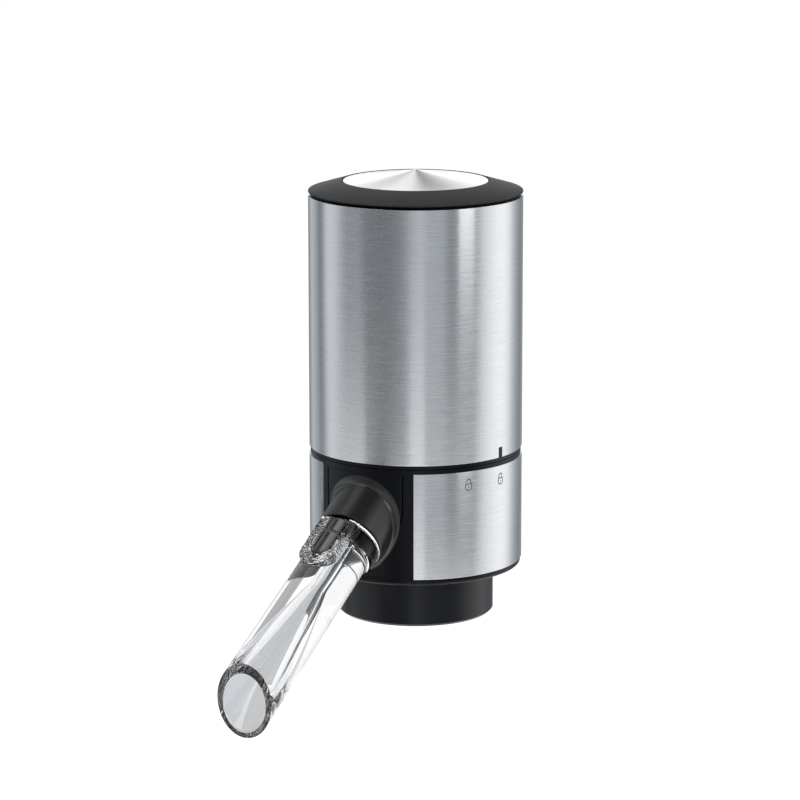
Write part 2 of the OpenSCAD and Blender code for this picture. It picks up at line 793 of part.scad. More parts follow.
// Round contacts at both ends of each cell.
module contact_plates() {
    color([0.8, 0.78, 0.7]) around(cell_angles, cell_ring) {
        translate([0, 0, carrier_z]) cylinder(r = cell_well_r - fit, h = plate_t);
        translate([0, 0, carrier_top - plate_t]) cylinder(r = cell_well_r - fit, h = plate_t);
    }
}

module contact_springs() {
    color([0.7, 0.7, 0.72]) for (i = [0:cell_count - 1]) rotate([0, 0, cell_angles[i]])
        translate([cell_ring, 0, cell_z + (i % 2 == 0 ? 0 : cell_len)])
            coil_spring(3.4, spring_room, spring_wire_r, 3);
}

// Switch and button

module control_board() {
    color([0.05, 0.3, 0.16]) translate([0, 0, carrier_top])
        cylinder(r = shell_in_r - ledge_w + board_lap, h = board_t);
}

module press_switch() {
    z = carrier_top + board_t;
    color([0.15, 0.15, 0.16]) {
        translate([-switch_half, -switch_half, z]) cube([2 * switch_half, 2 * switch_half, switch_body_h]);
        translate([0, 0, z]) cylinder(r = 1.75, h = switch_top - z);
    }
}

module spring_seat() {
    color([0.12, 0.12, 0.13]) ring(inner_r, switch_half * sqrt(2) + run, seat_z, seat_t);
}

module button_spring() {
    color([0.7, 0.7, 0.72]) translate([0, 0, seat_top])
        coil_spring(spring_r, button_flange_z - seat_top, spring_wire_r, 3);
}

// Plastic carrier under the metal disc: flange that stops under the bezel, and a pad over the switch.
module button_carrier() {
    color([0.1, 0.1, 0.1]) {
        translate([0, 0, button_flange_z]) cylinder(r = button_flange_r, h = button_flange_t);
        translate([0, 0, button_flange_z]) cylinder(r = button_r - fit, h = disc_z - button_flange_z);
        translate([0, 0, button_flange_z - 0.2]) cylinder(r = 3, h = 1);
    }
}

// Spun metal disc with a shallow cone.
module button_disc() {
    tip_r = 0.4;
    color([0.9, 0.9, 0.9]) {
        translate([0, 0, disc_z]) cylinder(r = button_r, h = disc_edge_z - disc_z);
        translate([0, 0, disc_edge_z]) cylinder(r1 = button_r, r2 = tip_r, h = cone_h);
    }
}

// Air pump

module pump_cover() {
    color([0.14, 0.14, 0.15]) difference() {
        union() {
            translate([0, 0, carrier_z]) cylinder(r = pump_r, h = cover_t);
            translate([0, 0, nozzle_tip]) cylinder(r = nozzle_r, h = carrier_z - nozzle_tip + eps);
        }
        translate([0, 0, nozzle_tip - eps]) cylinder(r = air_bore_r, h = far);
        translate([0, 0, carrier_z + 2]) cylinder(r = pump_r - 3, h = far);
    }
}

module valve_plate() {
    port_ring = cup_ring;
    port_r = 0.8;
    color([0.8, 0.8, 0.82]) difference() {
        translate([0, 0, valve_plate_z]) cylinder(r = pump_r, h = valve_plate_t);
        around(cup_angles, port_ring) translate([0, 0, valve_plate_z - eps]) cylinder(r = port_r, h = far);
    }
}
cup_angles = [for (i = [0:cup_count - 1]) 360 * i / cup_count];

// Rubber sheet with one cup for each pumping chamber.
module diaphragm() {
    color([0.2, 0.2, 0.2]) {
        translate([0, 0, diaphragm_z]) cylinder(r = pump_r, h = diaphragm_t);
        around(cup_angles, cup_ring) translate([0, 0, case_z - eps])
            cylinder(r1 = cup_r, r2 = cup_tip_r, h = swing_z - case_z + eps);
    }
}

module pump_case() {
    color([0.14, 0.14, 0.15]) difference() {
        translate([0, 0, case_z]) cylinder(r = pump_r, h = case_h);
        translate([0, 0, case_z - eps]) cylinder(r = pump_r - case_wall, h = case_h - 1.5);
        cylinder(r = shaft_r + 1, h = far * 2);
    }
}

// Plate that the crank pin rocks, seated on the diaphragm's cups.
module swing_plate() {
    pin_room = crank_offset + crank_r + run;
    color([0.85, 0.85, 0.83]) difference() {
        translate([0, 0, swing_z]) cylinder(r = cup_ring + swing_rim, h = swing_t);
        translate([0, 0, swing_z - eps]) cylinder(r = pin_room, h = swing_t + 2 * eps);
    }
}

module motor_can() {
    color([0.7, 0.71, 0.72]) difference() {
        translate([0, 0, motor_z]) cylinder(r = pump_r, h = motor_len);
        translate([0, 0, motor_z + 1.2]) cylinder(r = pump_r - motor_wall, h = motor_len);
        translate([0, 0, motor_z - eps]) cylinder(r = bush_r, h = far);
    }
}
bush_wall = 1.6;
bush_r = shaft_r + bush_wall;

module motor_cap() {
    color([0.9, 0.9, 0.86]) difference() {
        translate([0, 0, motor_cap_z]) cylinder(r = pump_r, h = motor_cap_t);
        translate([0, 0, motor_cap_z - eps]) cylinder(r = bush_r, h = motor_cap_t + 2 * eps);
    }
}

module shaft_bushes() {
    color([0.72, 0.55, 0.3]) for (z = [motor_z, motor_cap_z])
        ring(bush_r - fit, shaft_r + fit, z, motor_cap_t);
}

module field_magnets() {
    magnet_deg = 130;
    out_r = pump_r - motor_wall;
    color([0.3, 0.3, 0.31]) for (a = [0, 180])
        arc_ring(out_r - fit, out_r - magnet_t, motor_z + magnet_end, motor_len - 2 * magnet_end,
            a - magnet_deg / 2, magnet_deg);
}

// Turning parts of the motor

module motor_shaft() {
    color([0.8, 0.8, 0.82]) translate([0, 0, shaft_z])
        cylinder(r = shaft_r, h = motor_cap_z + motor_cap_t - shaft_z);
}

module armature() {
    out_r = pump_r - motor_wall - magnet_t - run;
    color([0.5, 0.36, 0.22])
        ring(out_r, shaft_r + fit, motor_z + armature_end, motor_len - 2 * armature_end);
}

// Hub on the shaft, with a blind hole off its centre for the crank pin.
module eccentric_hub() {
    color([0.9, 0.9, 0.9]) difference() {
        translate([0, 0, hub_z]) cylinder(r = hub_r, h = hub_h);
        translate([0, 0, shaft_z - fit]) cylinder(r = shaft_r + fit, h = far);
        translate([crank_offset, 0, hub_z - eps]) cylinder(r = crank_r + fit, h = crank_hold + eps);
    }
}

module crank_pin() {
    color([0.8, 0.8, 0.82]) translate([crank_offset, 0, swing_z])
        cylinder(r = crank_r, h = hub_z + crank_hold - swing_z);
}

base_plate();
bottle_collar();
neck_seal();
lower_housing();
lower_sleeve();
base_screws();
wine_duct();
duct_gasket();
air_tube();
air_seal();
check_valve();
spout_socket();
spout();
spout_tab();
spout_oring();
upper_sleeve();
upper_liner();
bayonet_cap();
head_screws();
top_bezel();
battery_carrier();
battery_cells();
contact_plates();
contact_springs();
control_board();
press_switch();
spring_seat();
button_spring();
button_carrier();
button_disc();
pump_cover();
valve_plate();
diaphragm();
pump_case();
swing_plate();
motor_can();
motor_cap();
shaft_bushes();
field_magnets();
motor_shaft();
armature();
eccentric_hub();
crank_pin();
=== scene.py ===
"""Looks of an electric wine pourer: finishes, fine shapes, studio and camera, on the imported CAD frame."""
import json
import math

import bmesh
import bpy
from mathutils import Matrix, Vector, noise


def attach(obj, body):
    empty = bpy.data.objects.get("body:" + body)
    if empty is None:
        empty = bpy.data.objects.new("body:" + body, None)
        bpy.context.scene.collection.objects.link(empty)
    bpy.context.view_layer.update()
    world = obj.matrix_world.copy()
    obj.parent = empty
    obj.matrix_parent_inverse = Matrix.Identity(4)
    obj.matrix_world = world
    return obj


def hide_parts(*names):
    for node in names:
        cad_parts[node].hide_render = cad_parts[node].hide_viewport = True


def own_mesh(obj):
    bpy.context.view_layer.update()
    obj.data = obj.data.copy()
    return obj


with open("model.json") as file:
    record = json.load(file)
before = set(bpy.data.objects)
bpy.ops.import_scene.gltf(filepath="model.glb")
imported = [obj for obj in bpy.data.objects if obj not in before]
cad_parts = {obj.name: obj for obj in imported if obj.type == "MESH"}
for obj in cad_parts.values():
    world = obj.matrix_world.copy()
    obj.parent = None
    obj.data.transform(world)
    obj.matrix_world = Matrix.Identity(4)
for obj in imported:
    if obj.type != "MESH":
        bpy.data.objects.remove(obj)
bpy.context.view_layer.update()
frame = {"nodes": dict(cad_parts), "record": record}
nodes = frame["nodes"]

# Sizes in millimetres: those of the part's source, apart from a few fine forms that are set here
MM = 0.001
BODY_R = 27.5
SLEEVE_IN_R, SLEEVE_EDGE = 26.7, 0.15
LOWER_Z, BAND_Z, UPPER_Z, BEZEL_Z = 14.3, 41.7, 43.8, 109.0
WINDOW_HALF = 30.2
PANEL_R, SHELF_Z = 27.1, 41.175
SEAT_IN_R, SEAT_R, SEAT_TOP = 23.05, 24.85, 105.475
POINTER_DEG, POINTER_W, POINTER_H = 83.0, 1.4, 2.6
TWIST_DEG = 22.5
BUTTON_R, DISC_Z, DISC_EDGE_Z, CONE_H, CONE_POWER = 18.6, 111.0, 112.5, 2.88, 1.4
BEZEL_IN_R, BEZEL_LIP_R, BEZEL_LIP_Z = 18.85, 20.5, 110.35
BEZEL_WALL_TOP, BEZEL_EDGE_Z = 110.1, 112.65
BEZEL_GAP, BEZEL_GAP_DEEP = 0.75, 0.7
SLOPE = math.radians(32)
SPOUT_Z = 45.0
TUBE_R, MOUTH_R, MOUTH_IN_R, THROAT_R, PLUG_R = 7.5, 7.95, 6.2, 1.4, 8.1
PLUG_S, PLUG_END, THROAT_END, TUBE_START, SPOUT_LEN = 26.3, 43.3, 57.0, 60.0, 94.8
MOUTH_TAN = math.tan(math.radians(32))
FLANGE_R, FLANGE_S, FLANGE_T = 8.8, 38.4, 0.5
GROWTH = (MOUTH_R - TUBE_R) / (SPOUT_LEN - PLUG_END)
WIDENING = (MOUTH_IN_R - THROAT_R) / (SPOUT_LEN - THROAT_END)
SOCKET_R, SOCKET_BASE_R, SOCKET_BORE_R = 9.0, 9.3, 8.2
SOCKET_BACK, SOCKET_STOP, SOCKET_LEN = 23.5, 26.0, 38.1
DUCT_R = 3.45
FLARE_R = 1.3
PLATE_HALF, PLATE_Z = 11.0, 32.57
SADDLE_HALF, SADDLE_UP, SADDLE_END = 5.0, 8.4, 55.1
TAB_FLOOR, TAB_SLOT_HALF, TAB_END, TAB_START = 7.0, 2.6, 51.2, 34.0
TAB_HALF, TAB_TOP, TAB_T, TAB_TIP, TAB_MARGIN, TAB_SPLIT = 2.5, 8.1, 1.05, 51.1, 0.6, 43.04
PEBBLE, PEBBLE_DEPTH = 0.95, 0.2
SOFT_EDGE = 0.3
ORING_S, ORING_DEPTH, ORING_HALF = 29.8, 1.4, 0.75


# Materials

class Nodes:
    """Short calls for building one node material."""

    def __init__(self, name):
        self.material = bpy.data.materials.new(name)
        self.material.use_nodes = True
        self.tree = self.material.node_tree
        self.bsdf = self.tree.nodes["Principled BSDF"]

    def add(self, kind, **values):
        node = self.tree.nodes.new(kind)
        for key, value in values.items():
            setattr(node, key, value)
        return node

    def link(self, source, target):
        self.tree.links.new(source, target)

    def math(self, operation, a, b):
        node = self.add("ShaderNodeMath", operation=operation)
        for socket, value in zip(node.inputs, (a, b)):
            if isinstance(value, (int, float)):
                socket.default_value = value
            else:
                self.link(value, socket)
        return node.outputs[0]

    def position(self):
        return self.add("ShaderNodeTexCoord").outputs["Object"]

    def noise(self, vector, scale, detail=3.0, rough=0.55):
        node = self.add("ShaderNodeTexNoise")
        node.inputs["Scale"].default_value = scale
        node.inputs["Detail"].default_value = detail
        node.inputs["Roughness"].default_value = rough
        self.link(vector, node.inputs["Vector"])
        return node.outputs["Fac"]

    def span(self, value, low, high):
        node = self.add("ShaderNodeMapRange")
        node.inputs["To Min"].default_value = low
        node.inputs["To Max"].default_value = high
        self.link(value, node.inputs["Value"])
        return node.outputs["Result"]

    def tint(self, value, dark, light, low=0.3, high=0.7):
        ramp = self.add("ShaderNodeValToRGB")
        ramp.color_ramp.elements[0].position = low
        ramp.color_ramp.elements[1].position = high
        ramp.color_ramp.elements[0].color = (*dark, 1)
        ramp.color_ramp.elements[1].color = (*light, 1)
        self.link(value, ramp.inputs["Fac"])
        self.link(ramp.outputs["Color"], self.bsdf.inputs["Base Color"])

    def bump(self, height, strength, distance_mm):
        node = self.add("ShaderNodeBump")
        node.inputs["Strength"].default_value = strength
        node.inputs["Distance"].default_value = distance_mm * MM
        self.link(height, node.inputs["Height"])
        self.link(node.outputs["Normal"], self.bsdf.inputs["Normal"])

    def rough(self, value, low, high):
        self.link(self.span(value, low, high), self.bsdf.inputs["Roughness"])

    def set(self, **values):
        for key, value in values.items():
            self.bsdf.inputs[key.replace("_", " ")].default_value = value

    def radial_tangent(self):
        tangent = self.add("ShaderNodeTangent", direction_type="RADIAL", axis="Z")
        self.link(tangent.outputs["Tangent"], self.bsdf.inputs["Tangent"])


def scaled(color, k):
    return tuple(c * k for c in color)


def brushed_sleeve(name, color):
    """Steel brushed round the body: long fine streaks in the direction of turning."""
    m = Nodes(name)
    split = m.add("ShaderNodeSeparateXYZ")
    m.link(m.position(), split.inputs[0])
    angle = m.math("ARCTAN2", split.outputs["Y"], split.outputs["X"])
    streaks = m.add("ShaderNodeCombineXYZ")
    m.link(m.math("MULTIPLY", angle, 3.2), streaks.inputs["X"])
    m.link(m.math("MULTIPLY", split.outputs["Z"], 2600.0), streaks.inputs["Y"])
    lines = m.noise(streaks.outputs[0], 1.0, 5.0, 0.65)
    m.tint(lines, scaled(color, 0.86), color, 0.3, 0.7)
    m.rough(lines, 0.2, 0.32)
    m.bump(lines, 0.16, 0.02)
    m.set(Metallic=1.0, Anisotropic=0.92, Anisotropic_Rotation=0.25)
    m.radial_tangent()
    return m.material


def spun_disc(name, color):
    """Metal turned on a lathe: fine rings round the centre."""
    m = Nodes(name)
    split = m.add("ShaderNodeSeparateXYZ")
    m.link(m.position(), split.inputs[0])
    radius = m.add("ShaderNodeVectorMath", operation="LENGTH")
    flat = m.add("ShaderNodeCombineXYZ")
    m.link(split.outputs["X"], flat.inputs["X"])
    m.link(split.outputs["Y"], flat.inputs["Y"])
    m.link(flat.outputs[0], radius.inputs[0])
    rings = m.add("ShaderNodeCombineXYZ")
    m.link(m.math("MULTIPLY", radius.outputs["Value"], 5200.0), rings.inputs["X"])
    m.link(m.math("ARCTAN2", split.outputs["Y"], split.outputs["X"]), rings.inputs["Y"])
    lines = m.noise(rings.outputs[0], 1.0, 4.0, 0.6)
    m.tint(lines, scaled(color, 0.93), color, 0.35, 0.65)
    m.rough(lines, 0.26, 0.34)
    m.bump(lines, 0.1, 0.01)
    m.set(Metallic=1.0, Anisotropic=0.85, Anisotropic_Rotation=0.25)
    m.radial_tangent()
    return m.material


def moulded(name, color, rough, grain_mm=0.25, bump=0.12, **values):
    """Moulded plastic or rubber with a fine skin grain and slow changes of gloss."""
    m = Nodes(name)
    place = m.position()
    grain = m.noise(place, 1.0 / (grain_mm * MM), 3.0)
    cloud = m.noise(place, 110.0, 4.0)
    m.tint(cloud, scaled(color, 0.82), scaled(color, 1.12))
    m.rough(m.math("MULTIPLY", m.math("ADD", grain, cloud), 0.5), rough - 0.06, rough + 0.06)
    m.bump(grain, bump, 0.02)
    m.set(**values)
    return m.material


def metal(name, color, rough, grain_mm=0.4):
    """Plain machined or drawn metal."""
    m = Nodes(name)
    grain = m.noise(m.position(), 1.0 / (grain_mm * MM), 4.0)
    m.tint(grain, scaled(color, 0.85), color)
    m.rough(grain, rough - 0.07, rough + 0.07)
    m.bump(grain, 0.08, 0.02)
    m.set(Metallic=1.0)
    return m.material


def clear(name, pebble=0.0, shine=(1, 1, 1, 1)):
    """Polished clear plastic with faint flow lines from moulding, and a pebbled skin where asked."""
    m = Nodes(name)
    if pebble:
        m.bump(m.noise(m.position(), 1700.0, 1.0), pebble, 0.25)
    flow = m.noise(m.position(), 90.0, 2.0)
    m.tint(flow, (0.955, 0.96, 0.97), (0.975, 0.98, 0.985))
    m.rough(flow, 0.0, 0.02)
    m.set(IOR=1.49, Transmission_Weight=1.0, Specular_Tint=shine)
    return m.material


def jacket(name, color):
    """Lacquered metal jacket of a cell."""
    m = Nodes(name)
    grain = m.noise(m.position(), 900.0, 3.0)
    m.tint(grain, scaled(color, 0.8), color)
    m.rough(grain, 0.28, 0.4)
    m.set(Metallic=0.6)
    return m.material


SOCKET_TONE = (0.0095, 0.0093, 0.0088)
FINISH = {
    "brushed_steel": brushed_sleeve("brushed_steel", (0.74, 0.75, 0.77)),
    "black_shell": moulded("black_shell", (0.0026, 0.003, 0.0042), 0.28, 0.3, 0.08, Specular_IOR_Level=0.22),
    "collar_black": moulded("collar_black", (0.003, 0.0037, 0.006), 0.3, 0.3, 0.08, Specular_IOR_Level=0.38),
    "socket_black": moulded("socket_black", SOCKET_TONE, 0.32, 0.3, 0.06, Specular_IOR_Level=0.6),
    "bezel_dark": moulded("bezel_dark", (0.017, 0.0172, 0.0175), 0.55, 0.22, 0.2, Specular_IOR_Level=0.36),
    "tab_black": moulded(
        "tab_black", (0.003, 0.003, 0.0032), 0.2, 0.3, 0.04,
        Specular_IOR_Level=1.0, Coat_Weight=1.0, Coat_Roughness=0.1),
    "inner_black": moulded("inner_black", (0.006, 0.006, 0.007), 0.45),
    "carrier_grey": moulded("carrier_grey", (0.13, 0.13, 0.14), 0.5),
    "spun_aluminium": spun_disc("spun_aluminium", (0.96, 0.96, 0.955)),
    "clear_spout": clear("clear_spout"),
    "silicone_dark": moulded("silicone_dark", (0.03, 0.03, 0.033), 0.62, 0.2, 0.15),
    "silicone_pale": moulded("silicone_pale", (0.55, 0.55, 0.54), 0.6, 0.2, 0.15),
    "screw_steel": metal("screw_steel", (0.62, 0.62, 0.64), 0.28),
    "spring_steel": metal("spring_steel", (0.66, 0.66, 0.68), 0.25),
    "contact_metal": metal("contact_metal", (0.78, 0.75, 0.66), 0.3),
    "cell_jacket": jacket("cell_jacket", (0.1, 0.28, 0.18)),
    "board_green": moulded("board_green", (0.02, 0.16, 0.07), 0.35, 0.6),
    "motor_steel": metal("motor_steel", (0.66, 0.67, 0.69), 0.32),
    "natural_plastic": moulded("natural_plastic", (0.74, 0.74, 0.71), 0.45),
    "bush_bronze": metal("bush_bronze", (0.6, 0.42, 0.2), 0.4),
    "ferrite": moulded("ferrite", (0.07, 0.07, 0.075), 0.6),
    "winding_copper": metal("winding_copper", (0.66, 0.32, 0.16), 0.35, 0.8),
}
# Painted shade: near-black, almost shineless material put on gaps and rim faces where shade falls
PAINTED_SHADE = moulded("painted_shade_black", (0.0012, 0.0012, 0.0012), 0.55, 0.3, 0.06, Specular_IOR_Level=0.05)
PRINT = moulded("mark_print", (0.12, 0.12, 0.13), 0.5, 0.2, 0.05)

for entry in frame["record"]["subparts"]:
    mesh = nodes[entry["node"]].data
    mesh.materials.clear()
    mesh.materials.append(FINISH[entry["material_slot"]])


# Mesh helpers

def add_piece(name, verts, faces, slot, body, replaced=(), sharp_deg=40, material=None):
    """A smooth mesh in millimetres that rides on a body and may stand for CAD nodes."""
    mesh = bpy.data.meshes.new(name)
    mesh.from_pydata([tuple(c * MM for c in v) for v in verts], [], faces)
    bm = bmesh.new()
    bm.from_mesh(mesh)
    bmesh.ops.remove_doubles(bm, verts=bm.verts, dist=1e-8)
    bmesh.ops.recalc_face_normals(bm, faces=bm.faces)
    bm.to_mesh(mesh)
    bm.free()
    mesh.shade_smooth()
    mesh.set_sharp_from_angle(angle=math.radians(sharp_deg))
    mesh.materials.append(material or FINISH[slot])
    piece = bpy.data.objects.new(name, mesh)
    bpy.context.scene.collection.objects.link(piece)
    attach(piece, body)
    if replaced:
        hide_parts(*replaced)
    return piece


def rounded(corners, steps=4):
    """Points of a closed outline whose corners (x, y, radius) are rounded off."""
    out = []
    for i, (x, y, radius) in enumerate(corners):
        corner = Vector((x, y))
        if radius == 0:
            out.append((x, y))
            continue
        before = (Vector(corners[i - 1][:2]) - corner).normalized()
        after = (Vector(corners[(i + 1) % len(corners)][:2]) - corner).normalized()
        half = before.angle(after) / 2
        centre = corner + (before + after).normalized() * (radius / math.sin(half))
        reach = radius / math.tan(half)
        start = corner + before * reach - centre
        end = corner + after * reach - centre
        turn = start.angle_signed(end)
        for k in range(steps + 1):
            a = -turn * k / steps
            c, s = math.cos(a), math.sin(a)
            out.append((centre.x + c * start.x - s * start.y, centre.y + s * start.x + c * start.y))
    return out


def strip_faces(columns, rows, close_columns=True, close_rows=True):
    """Quads of a grid of columns times rows, each closed into a loop or left open."""
    faces = []
    for i in range(columns if close_columns else columns - 1):
        for j in range(rows if close_rows else rows - 1):
            n, k = (i + 1) % columns, (j + 1) % rows
            faces.append((i * rows + j, n * rows + j, n * rows + k, i * rows + k))
    return faces


def turned(name, outline, slot, body, replaced=(), segments=192, **options):
    """A closed outline (r, z) turned round the body's axis."""
    verts = []
    for i in range(segments):
        a = 2 * math.pi * i / segments
        verts += [(r * math.cos(a), r * math.sin(a), z) for r, z in outline]
    return add_piece(name, verts, strip_faces(segments, len(outline)), slot, body, replaced, **options)


def on_spout(x, up, s):
    """Point at distance s along the spout's axis, up above it and x to its side."""
    y = -s * math.cos(SLOPE) - up * math.sin(SLOPE)
    z = SPOUT_Z - s * math.sin(SLOPE) + up * math.cos(SLOPE)
    return (x, y, z)


def spout_place(place):
    """The x, up and s of a point in millimetres, the other way round from on_spout."""
    x, y, z = place
    up = -y * math.sin(SLOPE) - (SPOUT_Z - z) * math.cos(SLOPE)
    s = -y * math.cos(SLOPE) + (SPOUT_Z - z) * math.sin(SLOPE)
    return x, up, s


def inside_strip(x, s, half, middle):
    """How far a point lies inside a strip of that half width, which ends in a half circle beyond middle."""
    return half - (abs(x) if s < middle else math.hypot(x, s - middle))


# Sleeves

def upper_sleeve():
    """Steel tube with softened edges and a notch for the pointer at its lower edge."""
    half = math.degrees((POINTER_W / 2 + 0.05) / BODY_R)
    middle = POINTER_DEG - 90
    gap = 0.01
    angles = [middle + half + gap + (360 - 2 * half - 2 * gap) * i / 240 for i in range(241)]
    columns = [(a, UPPER_Z) for a in angles]
    columns += [(middle + half * k / 2, UPPER_Z + POINTER_H + 0.05) for k in (-2, -1, 0, 1, 2)]
    verts = []
    for a, z in columns:
        outline = rounded([
            (SLEEVE_IN_R, z, 0), (BODY_R, z, SLEEVE_EDGE),
            (BODY_R, BEZEL_Z, SLEEVE_EDGE), (SLEEVE_IN_R, BEZEL_Z, 0)])
        c, s = math.cos(math.radians(a)), math.sin(math.radians(a))
        verts += [(r * c, r * s, h) for r, h in outline]
    faces = strip_faces(len(columns), len(outline))
    add_piece("upper_sleeve_shell", verts, faces, "brushed_steel", "head", ["upper_sleeve"])


def lower_sleeve():
    """Steel tube with a window at the front."""
    outline = rounded([
        (SLEEVE_IN_R, LOWER_Z, 0), (BODY_R, LOWER_Z, SLEEVE_EDGE),
        (BODY_R, BAND_Z, SLEEVE_EDGE), (SLEEVE_IN_R, BAND_Z, 0)])
    count = 200
    verts = []
    for i in range(count + 1):
        a = math.radians(-90 + WINDOW_HALF + (360 - 2 * WINDOW_HALF) * i / count)
        verts += [(r * math.cos(a), r * math.sin(a), z) for r, z in outline]
    n = len(outline)
    faces = strip_faces(count + 1, n, close_columns=False)
    faces += [tuple(range(n)), tuple(range(count * n, count * n + n))]
    piece = add_piece("lower_sleeve_shell", verts, faces, "brushed_steel", "base", ["lower_sleeve"])
    piece.data.materials.append(moulded("cut_steel", (0.75, 0.76, 0.78), 0.45, 0.3, 0.06, Metallic=0.35))
    for face in piece.data.polygons:
        if len(face.vertices) == n:
            face.material_index = 1


upper_sleeve()
lower_sleeve()


# Bezel and button

def bezel():
    """Dark ring whose top slopes up to the button, with a skirt in the head and a shadow gap at its foot."""
    gap_r, gap_z = BODY_R - BEZEL_GAP_DEEP, BEZEL_Z + BEZEL_GAP
    piece = turned("bezel_ring", rounded([
        (BEZEL_IN_R, BEZEL_LIP_Z, 0), (BEZEL_LIP_R, BEZEL_LIP_Z, 0), (BEZEL_LIP_R, BEZEL_Z, 0),
        (SEAT_IN_R, BEZEL_Z, 0), (SEAT_IN_R, SEAT_TOP, 0), (SEAT_R, SEAT_TOP, 0), (SEAT_R, BEZEL_Z, 0),
        (gap_r, BEZEL_Z, 0), (gap_r, gap_z, 0), (BODY_R, gap_z, 0.06),
        (BODY_R, BEZEL_WALL_TOP, 0.25), (BEZEL_IN_R, BEZEL_EDGE_Z, 0.15)]),
        "bezel_dark", "head", ["top_bezel"])
    piece.data.materials.append(PAINTED_SHADE)
    # Painted shade: the shadow gap and the hidden faces below it take the near-black painted-shade material
    for face in piece.data.polygons:
        face.material_index = int(face.center.z < (gap_z + 0.02) * MM)


def button():
    """Disc whose top rises in a hollow curve to a point in the middle."""
    centre_r, steps = 0.02, 30
    radii = [BUTTON_R * (1 - k / steps) for k in range(1, steps)] + [centre_r]
    top = [(r, DISC_EDGE_Z + CONE_H * (1 - r / BUTTON_R) ** CONE_POWER, 0) for r in radii]
    outline = [(centre_r, DISC_Z, 0), (BUTTON_R, DISC_Z, 0), (BUTTON_R, DISC_EDGE_Z, 0.2), *top]
    turned("button_cap", rounded(outline), "spun_aluminium", "button", ["button_disc"], sharp_deg=30)


bezel()
button()


# Clear spout

def smooth_min(a, b, k):
    """The smaller of two lengths, blended where they differ by less than k."""
    h = max(k - abs(a - b), 0.0) / k
    return min(a, b) - h * h * k / 4


def smooth_max(a, b, k):
    """The larger of two lengths, blended in the same way."""
    return -smooth_min(-a, -b, k)


def ease(t):
    """Smooth step from 0 to 1."""
    t = min(max(t, 0.0), 1.0)
    return t * t * (3 - 2 * t)


def tube_radius(s):
    """Outer radius of the spout's tube, which widens a little from the plug to the mouth."""
    return TUBE_R + GROWTH * (s - PLUG_END)


def spout_radius(s, a):
    """Outer radius at distance s and angle a from the top: plug, flange, tube, saddle and the tab's slot."""
    round_up = PLUG_R - 0.4 * ease((PLUG_S + 0.4 - s) / 0.4)
    r = tube_radius(s)
    r += (round_up - r) * ease((PLUG_END - s) / 0.35 + 0.5)
    if 0 <= s - FLANGE_S <= FLANGE_T:
        across = min(abs(2 * (s - FLANGE_S) / FLANGE_T - 1), 1.0)
        r = FLANGE_R - 0.15 * (1 - math.sqrt(1 - across ** 2))
    if abs(s - ORING_S) < ORING_HALF:
        r -= ORING_DEPTH * math.sqrt(1 - ((s - ORING_S) / ORING_HALF) ** 2)
    if abs(a) < math.pi / 2 and FLANGE_S + FLANGE_T < s < SADDLE_END:
        middle = SADDLE_END - SADDLE_HALF
        half = SADDLE_HALF if s < middle else math.sqrt(SADDLE_HALF ** 2 - (s - middle) ** 2)
        top = SADDLE_UP / math.cos(a)
        side = half / max(abs(math.sin(a)), 1e-4)
        r = smooth_max(r, smooth_min(top, min(side, 40.0), 0.5), 0.25)
        flat = ease((r * math.cos(a) - SADDLE_UP + 0.4) / 0.3)
        grain = noise.noise(Vector((r * math.sin(a), s, 0)) / PEBBLE)
        r -= flat * PEBBLE_DEPTH * max(0.5 + grain, 0.0)
    if abs(a) < 0.6 and s < TAB_END:
        inside = inside_strip(TAB_FLOOR * math.tan(a), s, TAB_SLOT_HALF, TAB_END - TAB_SLOT_HALF)
        floor = TAB_FLOOR / math.cos(a)
        r += (floor - r) * ease(inside / 0.3 + 0.5) * ease((s - TAB_START) / 0.3)
    return r


def bore_radius(s):
    """Radius of the spout's bore: narrow through the plug and a little beyond, then widening to the mouth."""
    return THROAT_R + WIDENING * max(s - THROAT_END, 0.0)


